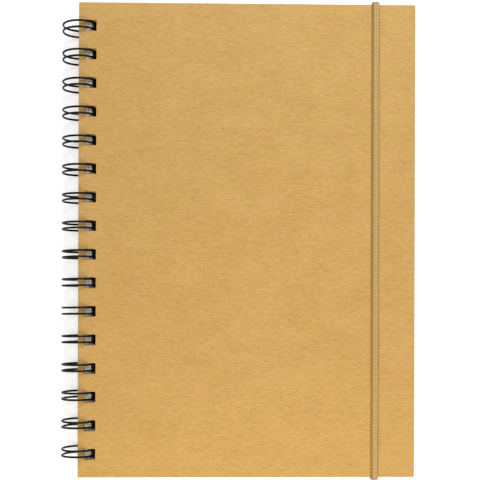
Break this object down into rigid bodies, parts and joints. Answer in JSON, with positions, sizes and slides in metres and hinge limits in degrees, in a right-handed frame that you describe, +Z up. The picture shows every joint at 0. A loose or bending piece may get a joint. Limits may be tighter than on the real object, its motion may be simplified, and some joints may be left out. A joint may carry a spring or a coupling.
{
  "type": "wire-bound notebook",
  "caption": "Wire-bound notebook with brown board covers that swing on the binding wire, plain pages and an elastic band closure.",
  "frame": {"origin": "on the table, under the middle of the whole object as it lies on its back", "axes": "+Z up through the front cover, +Y towards the head of the page, +X from the binding to the fore edge"},
  "size_m": [0.1584, 0.2138, 0.0159],
  "materials": {
    "cover_board": "uncoated brown board, matt, fine fibres",
    "page_paper": "uncoated off-white paper",
    "binding_wire": "gloss black coated wire",
    "elastic": "woven tan elastic",
    "clip_metal": "plain steel"
  },
  "bodies": {
    "book_block": {"page_block": "page_paper", "wire_binding": "binding_wire"},
    "front": {"front_cover": "cover_board"},
    "back": {"back_cover": "cover_board", "elastic_band": "elastic", "elastic_clip_head": "clip_metal", "elastic_clip_tail": "clip_metal"}
  },
  "joints": [
    {"name": "front_cover_hinge", "type": "hinge", "parent": "book_block", "child": "front", "pos_m": [-0.07121, 0, 0.00795], "axis": [0, -1, 0], "range_deg": [0, 180], "deforming": ["elastic_band"]},
    {"name": "back_cover_hinge", "type": "hinge", "parent": "book_block", "child": "back", "pos_m": [-0.07121, 0, 0.00795], "axis": [0, -1, 0], "range_deg": [-180, 0], "deforming": ["elastic_band"]}
  ]
}
